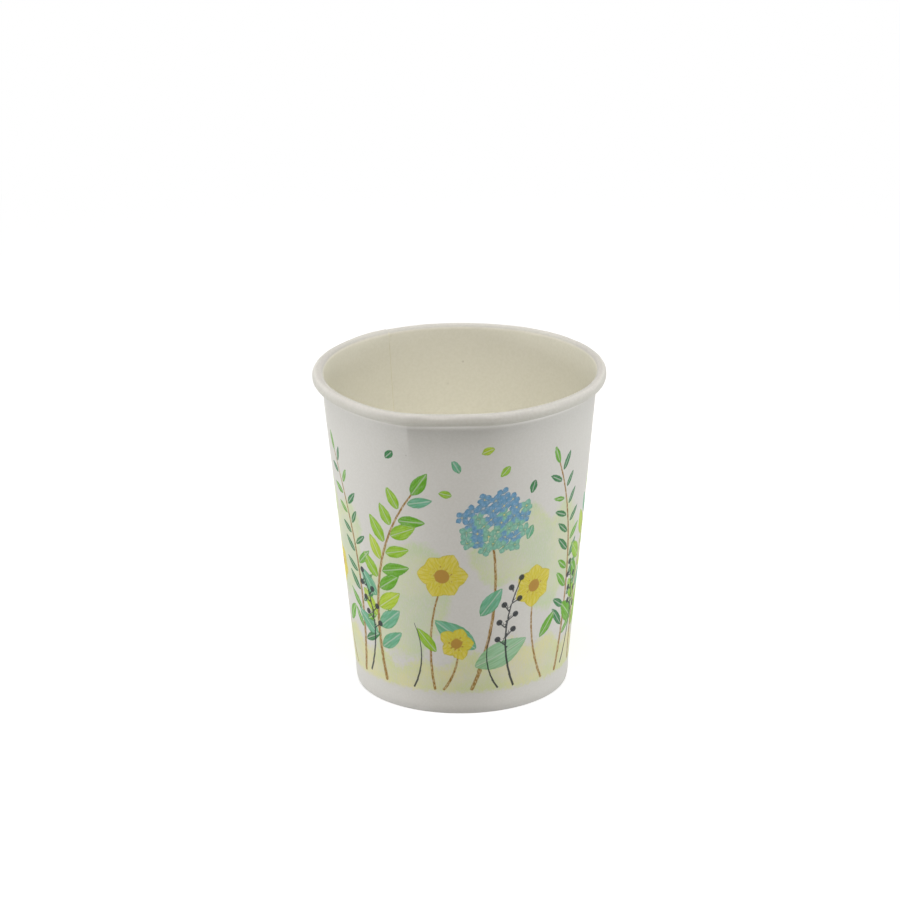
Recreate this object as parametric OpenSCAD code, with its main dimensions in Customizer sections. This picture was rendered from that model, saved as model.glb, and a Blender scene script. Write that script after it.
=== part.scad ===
// A paper cup made of two pieces of coated board. The side wall is a fan-shaped
// blank, wrapped into a cone and glued along an overlap. Its top edge is rolled
// outwards into the rim, and its bottom edge is folded in and up round the skirt
// of the bottom disc. The cup stands on the fold, with its axis on Z.

/* [Cup] */
// Height from the table to the top of the rolled rim
cup_h = 82; // [60:0.5:120]
// Outer diameter of the rolled rim
rim_d = 73; // [66:0.5:95]
// Outer diameter of the foot
foot_d = 53; // [40:0.5:58]

/* [Board] */
// Thickness of the side wall board
board_t = 0.3; // [0.25:0.01:0.4]
// Thickness of the bottom board
bottom_t = 0.3; // [0.25:0.01:0.4]
// Film of glue between two layers of board
glue_t = 0.02; // [0.01:0.01:0.05]

/* [Rolled rim] */
// Width of the roll, measured outwards from the wall
curl_w = 2.4; // [2.2:0.1:3.4]
// How much taller the roll is than it is wide
curl_stretch = 0.5; // [0:0.1:1]
// Gap between the roll's tucked edge and the wall
curl_gap = 0.1; // [0.05:0.01:0.2]
// Angle by which the roll's edge turns up inside it
curl_tuck = 75; // [10:5:110]

/* [Foot] */
// Height of the hem folded up inside the foot
hem_h = 5.4; // [3:0.1:6]
// Height of the bottom disc's underside above the table
recess_h = 7.2; // [6.8:0.1:12]
// Inner radius of each corner of the fold
fold_in = 0.07; // [0.05:0.01:0.1]
// Inner radius where the disc turns down into its skirt
bend_in = 0.65; // [0.4:0.05:1.2]
// Gap between the skirt's edge and the inside of the fold
skirt_gap = 0.15; // [0.05:0.05:0.5]

/* [Side seam] */
// Width of the overlap
lap_w = 7; // [5:0.5:12]
// How far the pressed outer layer stands out from the wall
lap_rise = 0.22; // [0.1:0.01:0.24]
// Width over which the board climbs on to its own edge
ramp_w = 2; // [1.5:0.1:2.5]
// Direction of the seam's inner edge, anticlockwise from +X
seam_az = 121.5; // [0:0.5:359]

/* [Hidden] */
// Steps of a half turn in the profile, and of the whole turn round the axis
arc_steps = 12;
$fn = 120;
// Depth by which a fused strip sinks into the wall that carries it
root = board_t / 3;
// Length over which the seam's layers fade out at the foot and at the rim
fade_h = 6;

board_white = [0.93, 0.92, 0.90];
inner_white = [0.94, 0.93, 0.88];

// The same corners, at the middle of the board
fold_r = fold_in + board_t / 2;
bend_r = bend_in + bottom_t / 2;
// Distance between the middles of the wall and the skirt that it holds
layer = (board_t + bottom_t) / 2 + glue_t;
// Middle radius of the roll, and of its edge, tucked in beside the wall
curl_r = (curl_w - board_t) / 2;
tuck_r = curl_r - board_t - curl_gap;
curl_c = [rim_d / 2 - board_t / 2 - curl_r, cup_h - board_t / 2 - curl_r];
curl_low = curl_c - [0, curl_stretch];
tuck_c = curl_low - [0, curl_r - tuck_r];
fold_c = [foot_d / 2 - board_t / 2 - fold_r, board_t / 2 + fold_r];

// The wall is the straight line that touches both the roll and the fold.
span = curl_c - fold_c;
slope = atan2(span[0], span[1]) - asin((curl_r + fold_r) / norm(span));
up = [sin(slope), cos(slope)];
out = [cos(slope), -sin(slope)];
hem_c = fold_c - [2 * (layer - fold_r) / cos(slope), 0];

wall_foot = fold_c + fold_r * out;
wall_top = curl_c - curl_r * out;
wall_len = norm(wall_top - wall_foot);
skirt_foot = wall_foot - layer * out;
disc_z = recess_h + bottom_t / 2;
skirt_z = board_t + skirt_gap;

// A point of a profile with the direction of the board's printed side
function at(c, r, a, side) = [c + r * [cos(a), sin(a)], side * [cos(a), sin(a)]];
function turn(c, r, a0, a1, side) =
    let (n = max(2, ceil(arc_steps * abs(a1 - a0) / 180)))
    [for (i = [0:n]) at(c, r, a0 + (a1 - a0) * i / n, side)];
function along(p, h) = p + up * (h - p[1]) / up[1];

hem_edge = [hem_c - fold_r * out + hem_h * up, -out];
foot_path = concat(
    [hem_edge],
    turn(hem_c, fold_r, 180 - slope, 270, 1),
    turn(fold_c, fold_r, 270, 360 - slope, 1));
curl_path = concat(
    turn(curl_c, curl_r, 180 - slope, 0, -1),
    turn(curl_low, curl_r, 0, -90, -1),
    turn(tuck_c, tuck_r, -90, -180 - curl_tuck, -1));
board_path = concat(foot_path, curl_path);
disc_path = concat(
    [[along(skirt_foot, skirt_z), out]],
    turn([along(skirt_foot, disc_z - bend_r * (1 + sin(slope)))[0] - bend_r * out[0],
        disc_z - bend_r], bend_r, -slope, 90, 1),
    [[[0, disc_z], [0, 1]]]);

// Both faces of a strip that follows a path, at a depth below and above its middle
function face(path, d) = [for (i = [0:len(path) - 1]) path[i][0] + d[i] * path[i][1]];
function flip(v) = [for (i = [len(v) - 1:-1:0]) v[i]];
function same(path, d) = [for (p = path) d];
module strip(path, inner, outer) {
    polygon(concat(face(path, inner), flip(face(path, outer))));
}

// Outside, the seam runs up the wall from the foot to the roll, and fades in above
// the foot. Inside, its step starts at the bottom disc.
seam_low = fade_h / 4;
seam_high = wall_len - curl_w - curl_stretch;
seam_path = [for (h = [seam_low, fade_h, seam_high]) [wall_foot + h * up, out]];
seam_rise = [0, lap_rise, lap_rise];
step_low = recess_h + bottom_t;
step_path = [for (h = [step_low, step_low + fade_h, wall_len - fade_h, wall_len])
    [wall_foot + h * up, out]];
step_rise = [0, lap_rise, lap_rise, 0];
// Over the roll the doubled board swells its outer face instead.
swell_path = turn(curl_c, curl_r, 180 - slope, 0, -1);
swell_top = len(swell_path) - 1;
swell_rise = [for (i = [0:swell_top]) lap_rise * sin(180 * i / swell_top)];

seam_r = (foot_d + rim_d) / 4;
lap_deg = lap_w / seam_r * 180 / PI;
ramp_deg = 2 * ramp_w / seam_r * 180 / PI;
// Angle at which the board leaves the round wall to reach the top of its edge
ramp_tilt = atan(lap_rise / ramp_w + ramp_w / (2 * seam_r));

// A strip that leaves a path of the profile at the seam and runs over an angle
module seam_strip(az, angle, path, inner, outer) {
    rotate([0, 0, az])
        rotate_extrude(angle = angle)
            strip(path, inner, outer);
}

// All that lies outwards of the ramp's plane, which meets the seam's line at the
// given distance from the middle of the board and ends a little past it
module above_ramp(d, past) {
    size = 2 * cup_h;
    rotate([0, 0, seam_az])
        translate([wall_foot[0], 0, wall_foot[1]])
            rotate([0, slope, 0])
                translate([d, 0, 0])
                    rotate([0, 0, -ramp_tilt])
                        translate([0, past - size, -size / 4])
                            cube(size);
}

module side_wall() {
    half = board_t / 2;
    color(board_white) union() {
        difference() {
            rotate_extrude()
                strip(board_path, same(board_path, -half), same(board_path, half));
            // inside, the board stands back before its own edge
            difference() {
                seam_strip(seam_az - ramp_deg, ramp_deg, step_path,
                    same(step_path, -half - board_t), [for (d = step_rise) d - half]);
                above_ramp(lap_rise - half, ramp_w);
            }
        }
        // outside, it climbs on to that edge and lies over it
        difference() {
            seam_strip(seam_az - ramp_deg, ramp_deg + lap_deg, seam_path,
                same(seam_path, half - root), [for (d = seam_rise) d + half]);
            above_ramp(lap_rise + half + root / 4, 0);
        }
        seam_strip(seam_az, lap_deg, swell_path,
            [for (d = swell_rise) -d - half], same(swell_path, -half + root));
    }
}

module bottom_disc() {
    half = bottom_t / 2;
    color(inner_white)
        rotate_extrude()
            strip(disc_path, same(disc_path, -half), same(disc_path, half));
}

side_wall();
bottom_disc();
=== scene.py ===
import math
import random

import bmesh
import bpy
import numpy as np
from mathutils import Matrix, Vector


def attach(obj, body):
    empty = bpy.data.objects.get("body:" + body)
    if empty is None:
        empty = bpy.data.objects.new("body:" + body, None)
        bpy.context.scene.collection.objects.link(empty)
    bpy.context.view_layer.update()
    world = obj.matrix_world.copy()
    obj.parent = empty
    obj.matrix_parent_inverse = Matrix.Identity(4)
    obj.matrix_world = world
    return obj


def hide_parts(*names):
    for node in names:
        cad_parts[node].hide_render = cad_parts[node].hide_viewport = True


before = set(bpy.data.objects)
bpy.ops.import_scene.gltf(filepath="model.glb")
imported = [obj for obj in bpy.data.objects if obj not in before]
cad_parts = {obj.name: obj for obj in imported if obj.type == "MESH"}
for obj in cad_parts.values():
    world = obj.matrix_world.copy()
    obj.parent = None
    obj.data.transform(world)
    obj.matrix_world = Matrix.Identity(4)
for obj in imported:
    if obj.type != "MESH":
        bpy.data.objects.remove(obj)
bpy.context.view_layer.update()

# Camera. It stands in front of the cup and looks down on it from a little above,
# far enough away for the outline to stay almost free of perspective.
stand_off = 1.1795
look_down = math.radians(20.8)
focal_pixels = 4694.0
image_pixels = 900
point_seen = Vector((0.0, 0.0, 0.040))
seen_at = (460.0, 525.7)
picture_roll = math.radians(-0.55)

camera = bpy.data.objects.new("camera", bpy.data.cameras.new("camera"))
bpy.context.scene.collection.objects.link(camera)
bpy.context.scene.camera = camera
camera.data.sensor_width = 36.0
camera.data.lens = focal_pixels * camera.data.sensor_width / image_pixels
right_of_centre = seen_at[0] - image_pixels / 2
below_centre = seen_at[1] - image_pixels / 2
aim = (
    Matrix.Rotation(math.radians(90) - look_down, 4, "X")
    @ Matrix.Rotation(math.atan(below_centre / focal_pixels), 4, "X")
    @ Matrix.Rotation(math.atan(right_of_centre / focal_pixels), 4, "Y")
    @ Matrix.Rotation(picture_roll, 4, "Z")
)
step_back = Vector((0.0, -math.cos(look_down), math.sin(look_down)))
camera.matrix_world = Matrix.Translation(point_seen + stand_off * step_back) @ aim

# Side wall. One fan-shaped sheet of coated board, printed outside, wrapped into a
# cone and glued along an overlap at the back. Its top edge is rolled outwards into
# the rim, and its bottom edge is folded in and up round the disc's skirt.
# Its sizes are those of the solid, in millimetres, and MM turns them into metres.
MM = 0.001
cup_height = 82.0
rim_radius = 36.5
foot_radius = 26.5
board = 0.3
glue = 0.02
roll_width = 2.4
roll_stretch = 0.5
roll_gap = 0.1
roll_tuck = 75
hem_height = 5.4
fold_inner = 0.07
seam_turn = 121.5
lap_width = 7.0
lap_rise = 0.22
ramp_width = 2.0
cut_width = 0.03
edge_width = 0.22
columns_round = 360
front_turn = 270
same_place = 1e-6

layer = board + glue
fold_radius = fold_inner + board / 2
roll_radius = (roll_width - board) / 2
tuck_radius = roll_radius - board - roll_gap
roll_centre = np.array([rim_radius, cup_height]) - board / 2 - roll_radius
roll_low = roll_centre - [0, roll_stretch]
tuck_centre = roll_low - [0, roll_radius - tuck_radius]
fold_centre = np.array([foot_radius - board / 2 - fold_radius, board / 2 + fold_radius])
span = roll_centre - fold_centre
slope = math.atan2(span[0], span[1]) - math.asin((roll_radius + fold_radius) / np.linalg.norm(span))
slope_deg = math.degrees(slope)
up = np.array([math.sin(slope), math.cos(slope)])
out = np.array([math.cos(slope), -math.sin(slope)])
hem_centre = fold_centre - [2 * (layer - fold_radius) / math.cos(slope), 0]
wall_foot = fold_centre + fold_radius * out
wall_top = roll_centre - roll_radius * out


def arc(centre, radius, start, end, steps, side):
    """Points of a round bend, each with the direction of the board's printed side."""
    turn = np.radians(np.linspace(start, end, steps + 1))
    away = np.stack([np.cos(turn), np.sin(turn)], 1)
    return centre + radius * away, side * away


def line(start, end, shares, side):
    """Points of a straight run at the given shares of its length, likewise."""
    return start + (end - start) * shares[:, None], np.repeat([side], len(shares), 0)


def board_line(hem, fold, wall_rows, roll):
    """The middle of the board from the hem's edge to the edge tucked into the rim.
    Each run takes its number of steps, and a point that two runs share is kept once."""
    hem_start = hem_centre - fold_radius * out
    runs = [
        line(hem_start + hem_height * up, hem_start, np.linspace(0, 1, hem + 1), -out),
        arc(hem_centre, fold_radius, 180 - slope_deg, 270, fold, 1),
        arc(fold_centre, fold_radius, 270, 360 - slope_deg, fold, 1),
        line(wall_foot, wall_top, wall_rows / wall_rows[-1], out),
        arc(roll_centre, roll_radius, 180 - slope_deg, 0, 2 * roll, -1),
        arc(roll_low, roll_radius, 0, -90, roll, -1),
        arc(tuck_centre, tuck_radius, -90, -180 - roll_tuck, 2 * roll, -1),
    ]
    places = np.concatenate([run[0] for run in runs])
    faces = np.concatenate([run[1] for run in runs])
    kept = np.r_[True, np.linalg.norm(np.diff(places, axis=0), axis=1) > same_place]
    return places[kept], faces[kept]


def fade(value, start, end):
    """0 at start and 1 at end, smoothly."""
    share = np.clip((value - start) / (end - start), 0, 1)
    return share * share * (3 - 2 * share)


# Rows of points up the wall, in millimetres along it. They are close outside, where
# the print and the ridge lie, and wide inside, where only the dents show.
wall_length = np.linalg.norm(wall_top - wall_foot)
print_rows = np.concatenate([
    np.linspace(0, 6, 7),
    np.linspace(6.5, 68, 124),
    np.linspace(69, 77, 9),
    np.linspace(77.1, wall_length, 17),
])
inside_rows = np.concatenate([
    np.linspace(0, 8, 3),
    np.linspace(10, 76, 28),
    wall_length - np.array([3.2, 1.8, 0.8, 0.3, 0.0]),
])
printed, printed_side = board_line(hem=3, fold=3, wall_rows=print_rows, roll=3)
inside, inside_side = board_line(hem=2, fold=3, wall_rows=inside_rows, roll=8)
inside, inside_side = inside[::-1], inside_side[::-1]

# Each ring has its place in the profile, and the direction of the printed side there.
# The first rings follow the printed face, and the others come back along the inner one.
ring_place = np.concatenate([printed + printed_side * board / 2, inside - inside_side * board / 2])
ring_side = np.concatenate([printed_side, inside_side])
rings = len(ring_place)
is_printed = np.arange(rings) < len(printed)
ring_z = ring_place[:, 1]

# Columns of the mesh go round from the seam, in degrees. A close pair of them makes
# each cut edge steep, and another pair keeps the crease sharp.
middle_radius = (rim_radius + foot_radius) / 2
lap_turn = math.degrees(lap_width / middle_radius)
ramp_turn = math.degrees(ramp_width / middle_radius)
cut_turn = math.degrees(cut_width / middle_radius)
edge_turn = math.degrees(edge_width / middle_radius)
crease_at = -21.4
crease_width = 0.4
even = seam_turn + np.arange(columns_round) * 360 / columns_round
edge_turns = [seam_turn + 360 - edge_turn, seam_turn + lap_turn]
cut_ends = [seam_turn + lap_turn + cut_turn]
crease_pair = [front_turn + crease_at + side * crease_width / 2 for side in (-1, 1)]
turns = np.sort(np.concatenate([even, edge_turns, cut_ends, crease_pair]))
columns = len(turns)
turn = np.broadcast_to(turns[None, :], (rings, columns))
z = np.broadcast_to(ring_z[:, None], (rings, columns))
outer = np.broadcast_to(is_printed[:, None], (rings, columns))
past_seam = turn - seam_turn
from_front = (turn - front_turn + 180) % 360 - 180
on_roll = fade(z, cup_height - 4.5, cup_height - 2.5)
on_wall = fade(z, 1.5, 6) * (1 - on_roll)

# Outside, the board climbs on to its own edge, lies over it and ends in a cut.
climb = fade(past_seam, 360 - ramp_turn, 360 - edge_turn)
lapped = past_seam <= lap_turn + cut_turn / 2
outside_step = lap_rise * np.where(lapped, 1, climb) * on_wall
# Inside, it stands back before its own edge, which shows as a thin upright line.
stand_back = lap_rise * climb * fade(z, 8, 12) * fade(z, cup_height - 0.8, cup_height - 1.8)
# Round the rim the doubled board makes the roll a little thicker.
roll_swell = 0.13 * (1 - fade(past_seam, lap_turn, lap_turn + 6)) * on_roll
push = np.where(outer, outside_step, stand_back - roll_swell)

# The hem stands a little proud. The roll's edge leaves a faint ridge on the wall
# under it, and right of the crease the wall swells out slightly below that ridge.
hem_band = 0.16 * (fade(z, 0.2, 1.2) - fade(z, 2.5, 5))
ridge_height = cup_height - 3.4
ridge_line = np.exp(-(((z - ridge_height) / 0.29) ** 2))
past_crease = fade(from_front, -27, -20) * (1 - fade(from_front, 45, 70))
swell_top = cup_height - 5.7
below_ridge = 0.22 * fade(z, cup_height - 10.5, swell_top) - 0.05 * fade(z, swell_top, ridge_height)
below_ridge = below_ridge * (1 - fade(z, cup_height - 3.45, cup_height - 2.9))
ridge = (0.09 + 0.02 * past_crease) * ridge_line + past_crease * below_ridge
faces_out = ring_side[:, :1] > 0.5
push = push + (hem_band + ridge) * outer * faces_out


def bump(where, width):
    """1 at an angle from the front, falling off smoothly on both sides of it."""
    away = (from_front - where + 180) % 360 - 180
    return np.exp(-((away / width) ** 2))


# The board gives where it was squeezed: a sharp crease under the front of the rim
# with a flat beside it, a rim a little out of round, and a slight kink at the back.
# Amounts are in millimetres outwards, and angles in degrees from the front, to the right.
dent_turns = [-72, -44, crease_at, -16.5, -10, -2, 14, 26, 40]
dent_amounts = [0.0, 0.16, 0.66, 0.05, -0.33, -0.42, -0.02, 0.14, 0.0]
dent = np.interp(from_front, dent_turns, dent_amounts)
dent = dent * fade(z, cup_height - 17, cup_height - 4.5) * (1 - 0.7 * on_roll)
kink = 0.20 * np.exp(-np.abs((from_front - 152) / 3.0)) - 0.10 * bump(161, 9)
kink = kink * fade(z, cup_height - 9, cup_height - 2)
bow = 0.30 * bump(-30, 15) - 0.20 * bump(0, 10) + 0.12 * bump(16, 8)
bow = bow * fade(z, cup_height - 24, cup_height)
wave = 0.05 * np.sin(np.radians(3 * turn + 40)) + 0.04 * np.sin(np.radians(5 * turn + 3.4 * z))
wave = wave * fade(z, 6, 30)
# On the left the roll was pressed flat, and is wider towards the inside.
flat = 0.42 * bump(-93, 26) * np.clip((rim_radius - ring_place[:, :1]) / roll_width, 0, 1)
flat = flat * fade(z, cup_height - 9, cup_height - 2)
# Beside the seam a softer line was pressed into the wall.
pressed = 0.07 * fade(turn % 360, 107.0, 108.6) * (1 - fade(turn % 360, 110, 121))
pressed = pressed * fade(z, 14, 24) * (1 - on_roll)
spread = dent + kink + bow + wave + pressed - flat
# The rim sags at the front left, and the underside of the roll hangs unevenly.
sink = (0.26 * bump(-30, 20) - 0.12 * bump(48, 18) + 0.10 * bump(180, 30)) * fade(z, 50, cup_height)
under_roll = fade(z, cup_height - 1.6, cup_height - 3.0) * (1 - fade(z, cup_height - 3.3, cup_height - 5.5))
droop = 0.10 + 0.20 * bump(crease_at, 8) + 0.14 * bump(22, 14)
sink = sink + droop * under_roll
# The roll's shoulder isn't even: it was pressed in at the front, and wavers all round.
shoulder = 0.16 * bump(-7.5, 5) - 0.07 * bump(-18, 6) + 0.10 * bump(34, 6)
for waves, start_at in ((13, 20), (19, 75), (29, 140), (41, 10)):
    shoulder = shoulder + 0.022 * np.sin(np.radians(waves * turn + start_at))
on_shoulder = np.clip(2 * ring_side[:, :1] * ring_side[:, 1:], 0, 1) ** 2 * (ring_side[:, 1:] < 0)
push = push + shoulder * on_shoulder * on_roll

radius = ring_place[:, :1] + ring_side[:, :1] * push + spread
height = ring_place[:, 1:] + ring_side[:, 1:] * push - sink
angle = np.radians(turn)
wall_points = np.stack([radius * np.cos(angle), radius * np.sin(angle), height], -1) * MM


def ring_mesh(name, points):
    """A mesh of rings of points, joined round and from the last ring to the first."""
    count, around = points.shape[:2]
    row = np.arange(count)[:, None] * around
    next_row = np.roll(row, -1)
    column = np.arange(around)[None, :]
    next_column = np.roll(column, -1)
    corners = [row + column, row + next_column, next_row + next_column, next_row + column]
    faces = np.stack(corners, -1)
    mesh = bpy.data.meshes.new(name)
    mesh.from_pydata(points.reshape(-1, 3).tolist(), [], faces.reshape(-1, 4).tolist())
    mesh.shade_smooth()
    piece = bpy.data.objects.new(name, mesh)
    bpy.context.scene.collection.objects.link(piece)
    return piece, faces.shape[:2]


side_wall, grid = ring_mesh("cup_side_wall", wall_points)

# Faces are of three kinds: the board's outer side, its inner side, and the bare cut.
# The cut shows at the board's top and bottom edges and at both edges of the seam.
OUTER_SIDE, INNER_SIDE, CUT = 0, 1, 2
sharp_from = math.radians(40)
face_kind = np.where(is_printed, OUTER_SIDE, INNER_SIDE)[:, None] * np.ones(grid, int)
last_printed = len(printed) - 1
face_kind[[last_printed, rings - 1]] = CUT
inner_edge, outer_edge = [np.searchsorted(turns, place - same_place) for place in edge_turns]
inner_wall = ~is_printed & (ring_side[:, 0] > 0.3) & (ring_z > 8) & (ring_z < cup_height - 0.4)
outer_wall = is_printed & (ring_z > 2) & (ring_z < cup_height - 3)
face_kind[inner_wall, inner_edge] = CUT
face_kind[outer_wall, outer_edge] = CUT
side_wall.data.polygons.foreach_set("material_index", face_kind.ravel().astype(np.int32))
side_wall.data.set_sharp_from_angle(angle=sharp_from)

# The print. Every shape is drawn on the unrolled wall, in millimetres across from
# the front and up from the foot, as a distance that the ink's nodes cut off sharply.
# A field holds how far inside its shapes a point lies, or how near to a drawn line:
# FAR where nothing is drawn, and worked out up to MARGIN round each shape.
FAR = 20.0
MARGIN = 4.0
inside_fields = ("leaf", "petal", "dot", "wash", "ground")
near_fields = ("stem_near", "pen_near")
other_fields = ("leaf_side", "leaf_along", "leaf_tint", "petal_side", "petal_along", "petal_tint",
                "dot_tint", "stem_side", "pen_side")
ink = {name: np.full((rings, columns), -FAR) for name in inside_fields}
ink.update({name: np.full((rings, columns), FAR) for name in near_fields})
ink.update({name: np.zeros((rings, columns)) for name in other_fields})
print_end = lap_turn + cut_turn / 2
across = np.radians(np.where(past_seam > print_end, turn - front_turn, turn + 360 - front_turn))
print_radius = wall_foot[0] + z * math.tan(slope)
on_print = outer & faces_out & (z > 1) & (z < cup_height - 3)


def local(x, h, reach):
    """Where the wall's points lie from a spot of the print, and which are near it."""
    dx = (across - x / middle_radius) * print_radius
    dy = z - h
    near = on_print & (np.abs(dx) < reach) & (np.abs(dy) < reach)
    return dx[near], dy[near], near


def blade(layer_name, x, h, heading, length, width, belly, tint):
    """A leaf or a petal: widest at the share belly of its length, pointed at its tip."""
    dx, dy, near = local(x, h, length + MARGIN)
    cos_h, sin_h = math.cos(heading), math.sin(heading)
    along = (dx * cos_h + dy * sin_h) / length
    side = dy * cos_h - dx * sin_h
    share = np.clip(along, 0, 1)
    swell = np.sin(math.pi * share ** (math.log(0.5) / math.log(belly))) ** 0.85
    inside_by = swell * width / 2 - np.abs(side)
    beyond = np.maximum(-along, along - 1) * length
    inside_by = np.where(beyond > 0, -np.hypot(beyond, side), inside_by)
    field = ink[layer_name]
    wins = inside_by > field[near]
    spots = np.flatnonzero(near)[wins]
    field.ravel()[spots] = inside_by[wins]
    ink[layer_name + "_side"].ravel()[spots] = side[wins]
    ink[layer_name + "_along"].ravel()[spots] = share[wins]
    ink[layer_name + "_tint"].ravel()[spots] = tint


def spot(x, h, size, tint):
    """A round dot."""
    dx, dy, near = local(x, h, size + MARGIN)
    inside_by = size - np.hypot(dx, dy)
    wins = inside_by > ink["dot"][near]
    spots = np.flatnonzero(near)[wins]
    ink["dot"].ravel()[spots] = inside_by[wins]
    ink["dot_tint"].ravel()[spots] = tint


def wash(x, h, wide, tall, lean):
    """A pale oval of thinned colour, leaning over by an angle."""
    dx, dy, near = local(x, h, max(wide, tall) + MARGIN)
    cos_l, sin_l = math.cos(lean), math.sin(lean)
    reach = np.hypot((dx * cos_l + dy * sin_l) / wide, (dy * cos_l - dx * sin_l) / tall)
    inside_by = (1 - reach) * min(wide, tall)
    spots = np.flatnonzero(near)
    ink["wash"].ravel()[spots] = np.maximum(ink["wash"][near], inside_by)


def stroke(layer_name, points, thick_start, thick_end):
    """A drawn line through points. Its side field is a share of its half width."""
    for k in range(len(points) - 1):
        (x0, h0), (x1, h1) = points[k], points[k + 1]
        length = math.hypot(x1 - x0, h1 - h0)
        dx, dy, near = local((x0 + x1) / 2, (h0 + h1) / 2, length / 2 + MARGIN + 1)
        cos_h, sin_h = (x1 - x0) / length, (h1 - h0) / length
        along = dx * cos_h + dy * sin_h
        side = dy * cos_h - dx * sin_h
        beyond = np.maximum(np.abs(along) - length / 2, 0)
        away = np.hypot(beyond, side)
        share = (k + np.clip(along / length + 0.5, 0, 1)) / (len(points) - 1)
        half = (thick_start + (thick_end - thick_start) * share) / 2
        wins = away < ink[layer_name + "_near"][near]
        spots = np.flatnonzero(near)[wins]
        ink[layer_name + "_near"].ravel()[spots] = away[wins]
        ink[layer_name + "_side"].ravel()[spots] = (side / half)[wins]


def bend(x0, h0, x1, h1, bow, count=9):
    """Points of a line from one spot to another that bows to its left."""
    length = math.hypot(x1 - x0, h1 - h0)
    points = []
    for k in range(count):
        t = k / (count - 1)
        lift = bow * 4 * t * (1 - t)
        points.append((x0 + (x1 - x0) * t - (h1 - h0) / length * lift,
                       h0 + (h1 - h0) * t + (x1 - x0) / length * lift))
    return points


# Places on the colour ramps of the leaves, the petals and the dots.
LIME, LEAF, GREEN, DEEP, TEAL, MIST = 0.05, 0.25, 0.45, 0.62, 0.80, 0.97
YELLOW, BLUE, SEA = 0.1, 0.5, 0.9
HEART, BERRY = 0.4, 0.95
hand = random.Random(7)


def at_share(points, t):
    """The spot at a share of a line's length, and the line's heading there."""
    place = t * (len(points) - 1)
    i = min(int(place), len(points) - 2)
    (xa, ha), (xb, hb) = points[i], points[i + 1]
    return xa + (xb - xa) * (place - i), ha + (hb - ha) * (place - i), math.atan2(hb - ha, xb - xa)


def twig(x0, h0, x1, h1, bow, leaves, size, slim, tints):
    """A woody twig with leaves on both sides and one at its tip."""
    points = bend(x0, h0, x1, h1, bow, 13)
    stroke("stem", points, 1.1, 0.45)
    for k in range(leaves):
        t = 0.14 + 0.82 * k / leaves
        x, h, heading = at_share(points, t)
        lean = heading + (1 if k % 2 else -1) * math.radians(hand.uniform(38, 60))
        length = size * (1 - 0.35 * t) * hand.uniform(0.88, 1.12)
        blade("leaf", x + 0.8 * math.cos(lean), h + 0.8 * math.sin(lean), lean, length,
              length * slim * hand.uniform(0.9, 1.1), 0.42, hand.choice(tints))
    x, h, heading = at_share(points, 0.97)
    blade("leaf", x, h, heading, size * 0.8, size * 0.8 * slim, 0.42, hand.choice(tints))


def flower(x, h, size, petals):
    """An open yellow flower with round petals and a brown heart."""
    first = hand.uniform(0, 360 / petals)
    for k in range(petals):
        heading = math.radians(first + k * 360 / petals + hand.uniform(-5, 5))
        blade("petal", x, h, heading, 0.50 * size * hand.uniform(0.92, 1.08), 0.43 * size, 0.60, YELLOW)
    spot(x, h, 0.15 * size, HEART)
    for k in range(9):
        heading = math.radians(40 * k + 15)
        spot(x + 0.22 * size * math.cos(heading), h + 0.22 * size * math.sin(heading), 0.26, HEART)


def bloom_head(x, h, size, count):
    """A round head of many small four-petalled blooms, blue above and sea green below."""
    for k in range(count):
        reach = size * math.sqrt((k + 0.5) / count)
        heading = math.radians(137.5 * k)
        bx = x + reach * math.cos(heading)
        bh = h + 0.86 * reach * math.sin(heading)
        tint = BLUE if hand.uniform(-1, 1) < (bh - h) / size else SEA
        first = hand.uniform(0, 90)
        for q in range(4):
            blade("petal", bx, bh, math.radians(first + 90 * q), 1.9, 1.6, 0.62, tint)
        spot(bx, bh, 0.28, YELLOW)


def berries(x, h, tall, lean, bow, count):
    """A pen-drawn stalk with black berries on short stalks of their own."""
    points = bend(x, h, x + lean, h + tall, bow, 11)
    stroke("pen", points, 0.62, 0.34)
    for k in range(count):
        bx, bh, heading = at_share(points, 1 - 0.085 * k)
        side = heading + (1 if k % 2 else -1) * math.radians(48) * (k > 0)
        reach = 2.3 + 0.12 * k
        tip = (bx + reach * math.cos(side), bh + reach * math.sin(side))
        stroke("pen", [(bx, bh), tip], 0.34, 0.3)
        spot(tip[0], tip[1], 0.82, BERRY)


def grass(x, h, tall, lean, bow):
    """A fine pen-drawn blade of grass."""
    stroke("pen", bend(x, h, x + lean, h + tall, bow, 9), 0.5, 0.16)


# A band of pale ground runs round the foot of the print, with a wavy top.
copies = 3
ground_low = 5.2
ground_top = 17 + 2.6 * np.sin(copies * across) + 1.5 * np.sin(5 * copies * across + 1)
ink["ground"] = np.where(on_print, np.minimum(z - ground_low, (ground_top - z) * 0.5), -FAR)

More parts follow.
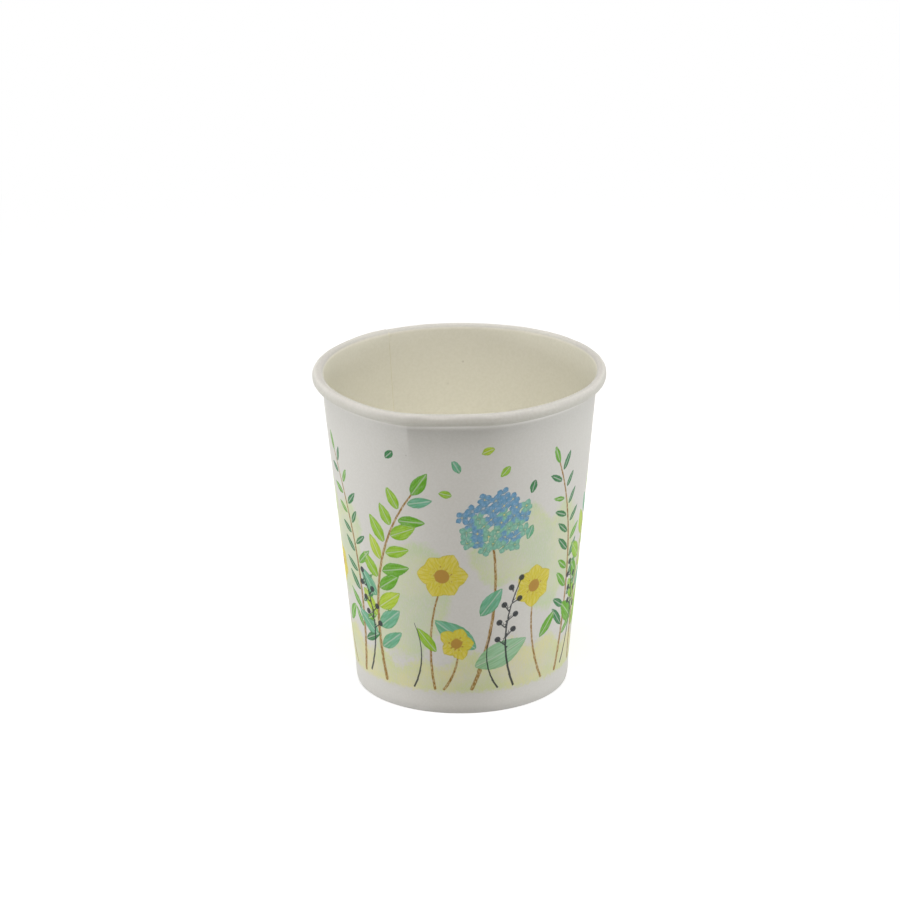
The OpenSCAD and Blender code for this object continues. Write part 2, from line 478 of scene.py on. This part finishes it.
# One length of the design is drawn three times round the cup.
# It is drawn from before one end of the print to past the other, so both ends are cut.
# Loose leaves fall between the plants, at these places along the length and heights.
repeat = 2 * math.pi * middle_radius / copies
first_length_at = -26
root_height = 7
fresh = [LIME, LEAF, LEAF, GREEN, TEAL]
dark = [DEEP, DEEP, GREEN]
falling = ((38, 67), (26, 66), (10, 71), (31, 71), (45, 50), (45, 62), (24, 60))
for length_drawn in range(-1, 3):
    x = first_length_at + length_drawn * repeat
    wash(x + 10, 30, 12, 17, -0.35)
    wash(x + 40, 45, 13, 10, 0.5)
    wash(x + 54, 40, 8, 15, -0.3)
    twig(x + 2, root_height, x + 15, 61, 6, 17, 9.6, 0.46, fresh)
    twig(x + 58, root_height, x + 52, 66, -5, 19, 7.4, 0.30, dark)
    stroke("stem", bend(x + 29, root_height, x + 34, 47, -3), 1.0, 0.6)
    bloom_head(x + 35, 52, 9.4, 34)
    blade("leaf", x + 29.6, 13, math.radians(24), 15, 6.8, 0.45, MIST)
    blade("leaf", x + 29.9, 18, math.radians(143), 13, 5.8, 0.45, TEAL)
    blade("leaf", x + 31, 27, math.radians(52), 9, 4.2, 0.45, TEAL)
    stroke("stem", bend(x + 18, root_height, x + 21, 36, 2), 0.7, 0.45)
    stroke("stem", bend(x + 21, root_height, x + 25, 18, -1), 0.7, 0.45)
    stroke("stem", bend(x + 51, root_height, x + 46.5, 31, 2), 0.7, 0.45)
    blade("leaf", x + 18.9, 17, math.radians(128), 8, 3.0, 0.45, LEAF)
    blade("leaf", x + 49.6, 18, math.radians(48), 8, 3.0, 0.45, GREEN)
    flower(x + 21, 38, 12.5, 6)
    flower(x + 24.5, 19.5, 9.0, 5)
    flower(x + 46.5, 33, 11.0, 6)
    berries(x + 41, root_height, 27, 0.5, 3, 8)
    berries(x - 4.5, root_height + 1, 25, 1, -3, 7)
    grass(x + 12, root_height, 17, 1, -2)
    grass(x + 36, root_height, 15, -2, 2)
    for along, above in falling:
        blade("leaf", x + along, above, hand.uniform(0, 2 * math.pi), hand.uniform(3.4, 4.6), 2.1, 0.45,
              hand.choice([LIME, LEAF, TEAL, DEEP]))

# The roll turns the inner side outwards. It is marked from where it leaves the inside,
# for the roll's painted shade, and its upper part once more, the crown, for darker
# painted shade. The crest, the top of the roll and what lies inwards of it, gets the
# darkest painted shade, except at the back.
turned_out = fade(-ring_side[:, :1], -0.75, -0.3)
above_inside = fade(z, cup_height - 0.95, cup_height - 0.45)
ink["rim"] = np.maximum(turned_out, above_inside) * (z > cup_height - 4) * ~outer
ink["crown"] = ink["rim"] * fade(-ring_side[:, 1:], -0.1, 0.7)
not_behind = 1 - fade(abs(from_front), 105, 140)
ink["crest"] = ink["crown"] * fade(ring_side[:, :1], -0.62, -0.12) * not_behind

# The ridge on the wall gets a painted highlight, strongest past the crease.
ridge_highlight_line = np.exp(-(((z - (cup_height - 3.5)) / 0.42) ** 2))
ridge_highlight_share = (0.85 + 0.15 * np.sin(np.radians(11 * turn))) * (0.45 + 0.55 * past_crease)
ink["ridge"] = ridge_highlight_line * ridge_highlight_share * outer * faces_out
# Besides the print, these fields hold where the roll's painted shade and the ridge's painted highlight lie.
for name, field in ink.items():
    layer_values = side_wall.data.attributes.new("print_" + name, "FLOAT", "POINT")
    layer_values.data.foreach_set("value", field.ravel().astype(np.float32))


class Flow:
    """One output of a material's nodes. Sums, products and the like add Math nodes.
    A flow without an output is only a start, from which nodes are made."""

    def __init__(self, tree, socket=None):
        self.tree = tree
        self.socket = socket

    def node(self, kind, settings=None, values=None, out=0):
        """A new node: its settings first, then the values or links of its sockets."""
        made = self.tree.nodes.new(kind)
        for name, value in (settings or {}).items():
            if name == "stops":
                ramp = made.color_ramp
                while len(ramp.elements) < len(value):
                    ramp.elements.new(0.5)
                for element, (place, colour) in zip(ramp.elements, value):
                    element.position = place
                    element.color = colour
            else:
                setattr(made, name, value)
        for name, value in (values or {}).items():
            if isinstance(value, Flow):
                self.tree.links.new(value.socket, made.inputs[name])
            else:
                made.inputs[name].default_value = value
        return Flow(self.tree, made.outputs[out])

    def maths(self, operation, *values):
        """A Math node on the given values."""
        return self.node("ShaderNodeMath", {"operation": operation}, dict(enumerate(values)))

    def __add__(self, other):
        return self.maths("ADD", self, other)

    def __radd__(self, other):
        return self.maths("ADD", other, self)

    def __sub__(self, other):
        return self.maths("SUBTRACT", self, other)

    def __rsub__(self, other):
        return self.maths("SUBTRACT", other, self)

    def __mul__(self, other):
        return self.maths("MULTIPLY", self, other)

    def __rmul__(self, other):
        return self.maths("MULTIPLY", other, self)

    def __abs__(self):
        return self.maths("ABSOLUTE", self)

    def ramped(self, start, end):
        """0 where this is at start and 1 at end, smoothly."""
        return self.node("ShaderNodeMapRange", {"interpolation_type": "SMOOTHSTEP"},
                         {"Value": self, "From Min": start, "From Max": end})

    def mixed(self, below, above):
        """A colour: below where this is 0 and above where it is 1."""
        return self.node("ShaderNodeMix", {"data_type": "RGBA"}, {0: self, 6: below, 7: above}, out=2)

    def deepened(self, share, tint):
        """This colour, multiplied by a tint by the given share."""
        return self.node("ShaderNodeMix", {"data_type": "RGBA", "blend_type": "MULTIPLY"},
                         {0: share, 6: self, 7: tint}, out=2)

    def coloured(self, stops):
        """The colour at this place on a ramp of colour stops."""
        return self.node("ShaderNodeValToRGB", {"stops": stops}, {"Fac": self})


def screen(red, green, blue):
    """A colour as it shows on a screen, 0 to 255, made linear."""
    parts = [c / 255 for c in (red, green, blue)]
    return tuple(c / 12.92 if c <= 0.04045 else ((c + 0.055) / 1.055) ** 2.4 for c in parts) + (1.0,)


def new_material(name):
    """A new material, a start for the flows of its nodes, and the shader to fill in."""
    material = bpy.data.materials.new(name)
    material.use_nodes = True
    tree = material.node_tree
    return material, Flow(tree), tree.nodes["Principled BSDF"]


def fit(shader, name, value):
    """Sets one socket of the shader, or links a flow to it."""
    if isinstance(value, Flow):
        value.tree.links.new(value.socket, shader.inputs[name])
    else:
        shader.inputs[name].default_value = value


def fibre(flow, size, detail=3.0, stretch=(1, 1, 1)):
    """A noise of lumps of about the given size in millimetres, from 0 to 1."""
    place = flow.node("ShaderNodeTexCoord", out=3)
    place = flow.node("ShaderNodeMapping", values={"Vector": place, "Scale": stretch})
    return flow.node("ShaderNodeTexNoise",
                     values={"Vector": place, "Scale": 1 / (size * MM), "Detail": detail})


def mottled(noise, dull, bright):
    """A colour that wavers with a noise between two colours as they show on a screen."""
    return noise.ramped(0.3, 0.7).mixed(screen(*dull), screen(*bright))


def relief(heights, strength, depth):
    """The normal of a bumpy surface, its heights scaled to a depth in millimetres."""
    return heights.node("ShaderNodeBump",
                        values={"Strength": strength, "Distance": depth * MM, "Height": heights})


def read(flow, name):
    """A field of the print, of the roll's painted shade, or of the ridge's painted highlight."""
    return flow.node("ShaderNodeAttribute", {"attribute_name": "print_" + name}, out=2)


def drawn(flow, name, edge, reach):
    """A drawn line of the print: its soft edges at shares of its half width, and how
    far in millimetres it reaches at most."""
    within = 1 - abs(read(flow, name + "_side")).ramped(*edge)
    return within * (1 - read(flow, name + "_near").ramped(*reach))


def pencilled(flow, name):
    """Strokes of a pencil along each leaf or petal, from 0 to 1."""
    place = flow.node("ShaderNodeCombineXYZ", values={
        "X": read(flow, name + "_side") * 2.6,
        "Y": read(flow, name + "_along") * 2.4,
        "Z": read(flow, name + "_tint") * 37})
    strokes = flow.node("ShaderNodeTexNoise", values={"Vector": place, "Scale": 1.0, "Detail": 2.0})
    return strokes.ramped(0.36, 0.64)


def speck(flow, place, size):
    """A fleck of dirt of the given size in millimetres, at a place on the board."""
    here = flow.node("ShaderNodeTexCoord", out=3)
    there = tuple(c * MM for c in place)
    away = flow.node("ShaderNodeVectorMath", {"operation": "DISTANCE"}, {0: here, 1: there}, out=1)
    return 1 - away.ramped(size * 0.25 * MM, size * 0.75 * MM)


# The outer side is matt coated board. Its print is laid on in the order of drawing:
# ground, washes, stems, leaves, petals, pen lines and dots.
paper_white = screen(226, 224, 219)
paper_dull = screen(222, 220, 214)
# A painted highlight for the ridge under the roll.
ridge_painted_highlight = screen(247, 245, 241)
board_gloss = 0.30

board_material, start, shader = new_material("printed_board")
mottle = fibre(start, 0.55, 4.0)
cloud = fibre(start, 9.0)
colour = mottle.ramped(0.3, 0.72).mixed(paper_dull, paper_white)
# A painted highlight along the ridge under the roll.
colour = read(start, "ridge").mixed(colour, ridge_painted_highlight)

# Ink lies thin where the pencil skips over the board, and its edges are ragged.
pencil = fibre(start, 0.30, 4.0, (1.0, 1.0, 0.35))
grain = fibre(start, 0.22, 2.0)
ragged = (fibre(start, 0.9) - 0.5) * 0.7
thin = pencil.ramped(0.25, 0.62)
patches = cloud.ramped(0.35, 0.65)
soft = 0.09

ground = read(start, "ground") + ragged * 4
ground_mask = ground.ramped(0.0, 1.6) * (1 - 0.45 * ground.ramped(1.0, 6.0))
ground_colour = patches.mixed(screen(232, 228, 158), screen(214, 224, 150))
colour = (ground_mask * (0.40 + 0.40 * thin)).mixed(colour, ground_colour)

damp = read(start, "wash") + ragged * 3 + (cloud - 0.5) * 7
wash_mask = damp.ramped(-0.6, 1.6) * (1 - 0.30 * damp.ramped(0.6, 3.5))
wash_colour = patches.mixed(screen(216, 226, 164), screen(198, 220, 160))
colour = (wash_mask * (0.30 + 0.45 * thin)).mixed(colour, wash_colour)

stem_mask = drawn(start, "stem", (0.75, 1.15), (0.5, 0.7)) * (0.55 + 0.45 * thin)
stem_colour = thin.mixed(screen(196, 160, 84), screen(150, 112, 46))
colour = stem_mask.mixed(colour, stem_colour)

leaf = read(start, "leaf") + ragged * 0.5
leaf_mask = leaf.ramped(-soft, soft)
leaf_strokes = pencilled(start, "leaf")
leaf_stops = [(0.0, screen(200, 222, 44)), (0.25, screen(158, 206, 34)), (0.45, screen(112, 182, 36)),
              (0.62, screen(40, 132, 74)), (0.80, screen(120, 192, 162)), (1.0, screen(172, 214, 178))]
leaf_colour = read(start, "leaf_tint").coloured(leaf_stops)
deep_leaf = leaf_colour.deepened(0.75, screen(196, 214, 168))
leaf_edge = 1 - leaf.ramped(0.0, 0.55)
leaf_base = 1 - read(start, "leaf_along").ramped(0.0, 0.6)
leaf_shade = (leaf_edge * 0.55 + leaf_base * 0.45) * 0.7 + (1 - thin) * 0.25 + leaf_strokes * 0.55
leaf_colour = leaf_shade.mixed(leaf_colour, deep_leaf)
vein = (1 - abs(read(start, "leaf_side")).ramped(0.08, 0.20)) * leaf.ramped(0.1, 0.4)
leaf_colour = (vein * 0.45).mixed(leaf_colour, paper_white)
leaf_cover = 0.80 + 0.12 * thin + 0.12 * leaf_strokes
colour = (leaf_mask * leaf_cover).mixed(colour, leaf_colour)

petal = read(start, "petal") + ragged * 0.35
petal_mask = petal.ramped(-soft, soft)
petal_strokes = pencilled(start, "petal")
petal_stops = [(0.0, screen(232, 220, 74)), (0.3, screen(228, 206, 60)), (0.4, screen(104, 158, 206)),
               (0.6, screen(118, 176, 210)), (0.8, screen(128, 196, 182)), (1.0, screen(140, 204, 176))]
petal_colour = read(start, "petal_tint").coloured(petal_stops)
deep_petal = petal_colour.deepened(0.7, screen(206, 200, 190))
petal_edge = 1 - petal.ramped(0.0, 0.4)
petal_base = 1 - read(start, "petal_along").ramped(0.0, 0.5)
petal_shade = petal_edge * 0.7 + petal_base * 0.5 + petal_strokes * 0.4
petal_colour = petal_shade.mixed(petal_colour, deep_petal)
petal_cover = 0.76 + 0.14 * thin + 0.14 * petal_strokes
colour = (petal_mask * petal_cover).mixed(colour, petal_colour)

pen_mask = drawn(start, "pen", (0.7, 1.2), (0.5, 0.65)) * 0.93
colour = pen_mask.mixed(colour, screen(38, 42, 46))

dot_stops = [(0.0, screen(242, 226, 120)), (0.2, screen(242, 226, 120)), (0.3, screen(186, 140, 62)),
             (0.6, screen(186, 140, 62)), (0.9, screen(44, 48, 52)), (1.0, screen(44, 48, 52))]
dot = read(start, "dot") + ragged * 0.2
dot_mask = dot.ramped(-soft, soft) * 0.95
dot_colour = read(start, "dot_tint").coloured(dot_stops)
colour = dot_mask.mixed(colour, dot_colour)

outer_fleck = speck(start, (-13.13, -31.09, 70.15), 0.40) * 0.25
colour = outer_fleck.mixed(colour, screen(120, 112, 100))
fit(shader, "Base Color", colour)
fit(shader, "Roughness", 0.50 + 0.12 * mottle)
fit(shader, "Specular IOR Level", board_gloss)
fit(shader, "Normal", relief(mottle * 0.5 + grain * 0.3 + cloud * 2.0, 0.20, 0.03))

# The inner side has a thin film that makes it smoother and a little creamy. On the
# roll it is painted greyer and darker as painted shade, darker still on the crown and
# darkest on the crest, and the crown is also rougher.
inner_material, start, shader = new_material("inner_board")
mottle = fibre(start, 0.7, 3.0)
cloud = fibre(start, 14.0)
crown = read(start, "crown")
cream = mottled(mottle, (236, 234, 221), (240, 238, 226))
# Painted shade for the roll, its crown and its crest.
pale = mottled(mottle, (211, 208, 199), (215, 213, 205))
crown_painted_shade = mottled(mottle, (200, 198, 193), (206, 204, 199))
crest_painted_shade = mottled(mottle, (188, 186, 182), (194, 192, 188))
roll_colour = crown.mixed(pale, read(start, "crest").mixed(crown_painted_shade, crest_painted_shade))
colour = read(start, "rim").mixed(cream, roll_colour)
upper_fleck = speck(start, (0.98, 33.18, 72.24), 0.55) * 0.20
lower_fleck = speck(start, (-2.91, 32.53, 66.56), 0.55) * 0.10
colour = (upper_fleck + lower_fleck).mixed(colour, screen(118, 106, 84))
fit(shader, "Base Color", colour)
fit(shader, "Roughness", 0.42 + 0.14 * mottle + 0.30 * crown)
fit(shader, "Specular IOR Level", board_gloss)
fit(shader, "Normal", relief(mottle * 0.5 + cloud * 1.2, 0.12, 0.03))

# The cut shows the board's uncoated middle, with its loose fibres.
cut_material, start, shader = new_material("cut_board")
strands = fibre(start, 0.12, 4.0, (1, 1, 0.3))
fit(shader, "Base Color", mottled(strands, (224, 219, 192), (233, 229, 207)))
fit(shader, "Roughness", 0.85)
fit(shader, "Normal", relief(strands, 0.5, 0.04))

for material in (board_material, inner_material, cut_material):
    side_wall.data.materials.append(material)
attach(side_wall, "root")
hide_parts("side_wall")

# Bottom disc. A round blank of the same board, its edge turned down into a skirt
# that is glued between the wall and the hem, so the disc lies above the table.
recess = 7.2
bend_inner = 0.65
bend_radius = bend_inner + board / 2
disc_middle = recess + board / 2
skirt_gap = 0.15
skirt_low = board + skirt_gap
sag = 0.25
disc_columns = 160
flat_rings = 25

skirt_foot = wall_foot - layer * out
bend_height = disc_middle - bend_radius
bend_low = bend_height - bend_radius * math.sin(slope)
skirt_top = skirt_foot + up * (bend_low - skirt_foot[1]) / up[1]
skirt_end = skirt_foot + up * (skirt_low - skirt_foot[1]) / up[1]
bend_centre = np.array([skirt_top[0] - bend_radius * out[0], bend_height])
# The rings of the flat lie closer towards its edge, and the last one is its middle.
flat_radii = bend_centre[0] * np.sqrt(np.linspace(1, 0, flat_rings + 1))[1:]
flat_place = np.stack([flat_radii, np.full(flat_rings, disc_middle)], 1)
flat_side = np.repeat([[0.0, 1.0]], flat_rings, 0)
disc_runs = [
    line(skirt_end, bend_centre + bend_radius * out, np.linspace(0, 1, 7), out),
    arc(bend_centre, bend_radius, -slope_deg, 90, 8, 1),
    (flat_place, flat_side),
]
disc_place = np.concatenate([run[0] for run in disc_runs])
disc_side = np.concatenate([run[1] for run in disc_runs])
faces_up = disc_side[:, 1:] > 0.999
sunk = sag * (1 - (disc_place[:, :1] / bend_centre[0]) ** 2).clip(0, 1)
disc_place = disc_place - sunk * [0, 1] * faces_up
disc_ring = np.concatenate([disc_place + disc_side * board / 2, (disc_place - disc_side * board / 2)[::-1]])
disc_turn = np.radians(np.arange(disc_columns) * 360 / disc_columns)
disc_points = np.stack([
    disc_ring[:, :1] * np.cos(disc_turn),
    disc_ring[:, :1] * np.sin(disc_turn),
    np.broadcast_to(disc_ring[:, 1:], (len(disc_ring), disc_columns)),
], -1) * MM
bottom_disc, grid = ring_mesh("cup_bottom_disc", disc_points)

# Faces are of three kinds here too: the coated top, the bare underside and the cut.
COATED, BARE = 0, 1
disc_kind = np.full(grid, COATED)
disc_kind[len(disc_place):] = BARE
disc_kind[-1] = CUT
bottom_disc.data.polygons.foreach_set("material_index", disc_kind.ravel().astype(np.int32))
# The innermost rings are closed into one point on each side.
disc_faces = bmesh.new()
disc_faces.from_mesh(bottom_disc.data)
bmesh.ops.remove_doubles(disc_faces, verts=disc_faces.verts, dist=1e-7)
loose = [edge for edge in disc_faces.edges if not edge.link_faces]
bmesh.ops.delete(disc_faces, geom=loose, context="EDGES")
disc_faces.to_mesh(bottom_disc.data)
disc_faces.free()
bottom_disc.data.set_sharp_from_angle(angle=sharp_from)

# Underneath, the board is uncoated, a little darker and rougher, with long fibres.
bare_material, start, shader = new_material("bare_bottom_board")
mottle = fibre(start, 0.8, 4.0)
hairs = fibre(start, 0.25, 3.0, (1, 0.3, 1))
fit(shader, "Base Color", mottled(mottle, (216, 211, 196), (226, 222, 208)))
fit(shader, "Roughness", 0.70 + 0.15 * hairs)
fit(shader, "Normal", relief(mottle * 0.6 + hairs * 0.4, 0.5, 0.06))
for material in (inner_material, bare_material, cut_material):
    bottom_disc.data.materials.append(material)
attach(bottom_disc, "root")
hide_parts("bottom_disc")

# Floor and light. A plain pale floor, small soft boxes to the left and right, a wide
# one overhead with a smaller one before it, and a weak one behind, so the middle of
# the cup's front stays a little dim.
floor_reach = 3.0
floor_corners = [(x * floor_reach, y * floor_reach, 0) for x, y in ((-1, -1), (1, -1), (1, 1), (-1, 1))]
floor_mesh = bpy.data.meshes.new("floor")
floor_mesh.from_pydata(floor_corners, [], [(0, 1, 2, 3)])
floor = bpy.data.objects.new("floor", floor_mesh)
bpy.context.scene.collection.objects.link(floor)


def sees_white(flow):
    """1 where it is seen, straight, in gloss or through glass, and 0 where it lights."""
    kinds = ("Is Camera Ray", "Is Glossy Ray", "Is Transmission Ray")
    direct, gloss, through = [flow.node("ShaderNodeLightPath", out=kind) for kind in kinds]
    return flow.maths("MAXIMUM", direct, flow.maths("MAXIMUM", gloss, through))


# Near the cup the floor is seen with a glow and keeps the cup's shadow, and farther
# away it is seen as plain white.
floor_glow = 0.62
shadow_reach = 0.12
white_from = 0.45
white = (1.0, 1.0, 1.0, 1.0)
floor_material, start, shader = new_material("pale_floor")
seen = sees_white(start)
fit(shader, "Base Color", screen(190, 190, 190))
fit(shader, "Roughness", 0.9)
fit(shader, "Specular IOR Level", 0.0)
bare_floor = Flow(start.tree, shader.outputs[0])
glow = start.node("ShaderNodeEmission", values={"Color": white, "Strength": floor_glow})
glowing = start.node("ShaderNodeAddShader", values={0: bare_floor, 1: glow})
near_floor = start.node("ShaderNodeMixShader", values={0: seen, 1: bare_floor, 2: glowing})
far_floor = start.node("ShaderNodeEmission", values={"Color": white, "Strength": 1.0})
place = start.node("ShaderNodeTexCoord", out=3)
away = start.node("ShaderNodeVectorMath", {"operation": "LENGTH"}, {0: place}, out=1)
far = seen * away.ramped(shadow_reach, white_from)
whole_floor = start.node("ShaderNodeMixShader", values={0: far, 1: near_floor, 2: far_floor})
fit(start.tree.nodes["Material Output"], "Surface", whole_floor)
floor_mesh.materials.append(floor_material)


def softbox(name, place, width, height, radiance, tint):
    """An oblong lamp that faces the cup. Its radiance is its brightness, with white at 1."""
    lamp = bpy.data.lights.new(name, "AREA")
    lamp.shape = "RECTANGLE"
    lamp.size = width
    lamp.size_y = height
    lamp.energy = radiance * math.pi * width * height
    lamp.color = tint
    holder = bpy.data.objects.new(name, lamp)
    bpy.context.scene.collection.objects.link(holder)
    holder.location = place
    holder.rotation_euler = (point_seen - Vector(place)).to_track_quat("-Z", "Y").to_euler()


softbox("left_box", (-0.6086, -0.1183, 0.077), 0.18, 0.142, 20.1, (0.963, 0.976, 1.0))
softbox("right_box", (0.6065, -0.1289, 0.077), 0.18, 0.142, 18.4, (0.955, 0.975, 1.0))
softbox("sky_box", (0.0, 0.0, 0.85), 1.40, 1.40, 1.48, (1.0, 1.0, 0.92))
softbox("front_top_box", (0.0, -0.24, 0.76), 0.50, 0.26, 5.6, (1.0, 0.93, 0.957))
softbox("back_box", (0.0, 1.10, 0.35), 0.80, 0.50, 1.0, (1.0, 1.0, 1.0))

# The studio round the cup is seen as white, and lights nothing.
world = bpy.data.worlds.new("studio")
bpy.context.scene.world = world
world.use_nodes = True
start = Flow(world.node_tree)
unlit = start.node("ShaderNodeBackground", values={"Color": white, "Strength": 0.0})
backdrop = start.node("ShaderNodeBackground", values={"Color": white, "Strength": 1.0})
studio = start.node("ShaderNodeMixShader", values={0: sees_white(start), 1: unlit, 2: backdrop})
fit(world.node_tree.nodes["World Output"], "Surface", studio)

bpy.context.scene.view_settings.view_transform = "Standard"
